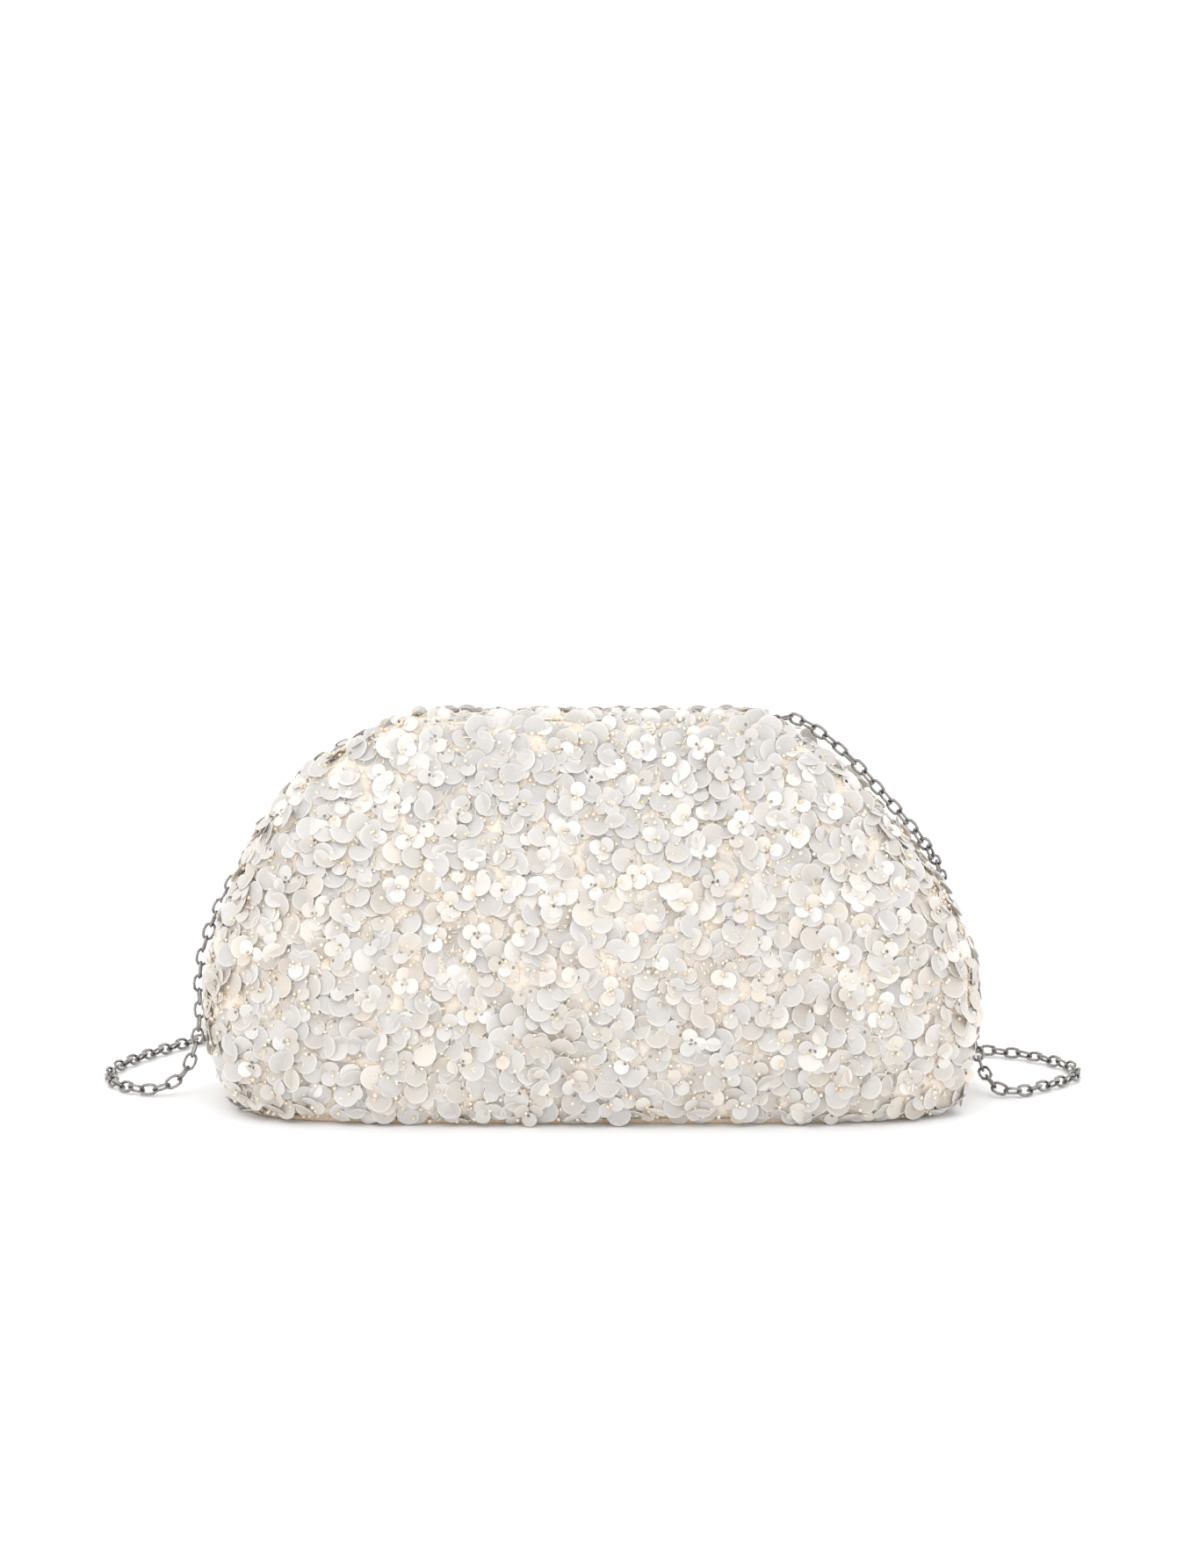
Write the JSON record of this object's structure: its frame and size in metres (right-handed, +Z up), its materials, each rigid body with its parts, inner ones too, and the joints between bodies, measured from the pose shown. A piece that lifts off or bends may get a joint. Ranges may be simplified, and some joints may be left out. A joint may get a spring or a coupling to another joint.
{
  "type": "evening bag",
  "caption": "Half-moon sequinned evening clutch with a flat base, a hinged magnetic hoop mouth, a satin lining and a cable-chain shoulder strap.",
  "frame": {"origin": "centre of the flat base, on the surface that the bag stands on", "axes": "+X to the right seen from the front, +Y to the back, +Z up"},
  "size_m": [0.3211, 0.1622, 0.13],
  "materials": {
    "sequinned_cloth": "ivory cloth under overlapping translucent pearl-white sequins",
    "base_cloth": "champagne satin",
    "base_board": "fibre board",
    "foam": "soft foam wadding",
    "satin_lining": "champagne satin",
    "hoop_steel": "plain spring steel",
    "magnet": "nickel-plated",
    "chain_steel": "antique silver, satin with dark recesses"
  },
  "bodies": {
    "bag": {"back_cover": "sequinned_cloth", "front_cover_lower": "sequinned_cloth", "base_cover": "base_cloth", "base_board": "base_board", "back_padding": "foam", "front_padding": "foam", "base_lining": "satin_lining", "back_lining": "satin_lining", "front_lining_lower": "satin_lining", "slip_pocket": "satin_lining", "back_hoop": "hoop_steel", "back_facing": "satin_lining", "back_magnet": "magnet", "hinge_rivet_right": "hoop_steel", "hinge_rivet_left": "hoop_steel", "chain_lug_right": "chain_steel", "chain_lug_left": "chain_steel", "strap_chain": "chain_steel"},
    "mouth_front": {"front_cover_upper": "sequinned_cloth", "front_lining_upper": "satin_lining", "front_hoop": "hoop_steel", "front_facing": "satin_lining", "front_magnet": "magnet"},
    "ring_right": {"chain_ring_right": "chain_steel"},
    "ring_left": {"chain_ring_left": "chain_steel"}
  },
  "joints": [
    {"name": "mouth_hinge", "type": "hinge", "parent": "bag", "child": "mouth_front", "pos_m": [0, 0, 0.094], "axis": [1, 0, 0], "range_deg": [0, 50]},
    {"name": "ring_right_swing", "type": "hinge", "parent": "bag", "child": "ring_right", "pos_m": [0.0403, 0.01186, 0.1242], "axis": [1, 0, 0], "range_deg": [0, 18]},
    {"name": "ring_left_swing", "type": "hinge", "parent": "bag", "child": "ring_left", "pos_m": [-0.0477, 0.01186, 0.1242], "axis": [1, 0, 0], "range_deg": [0, 18]}
  ]
}
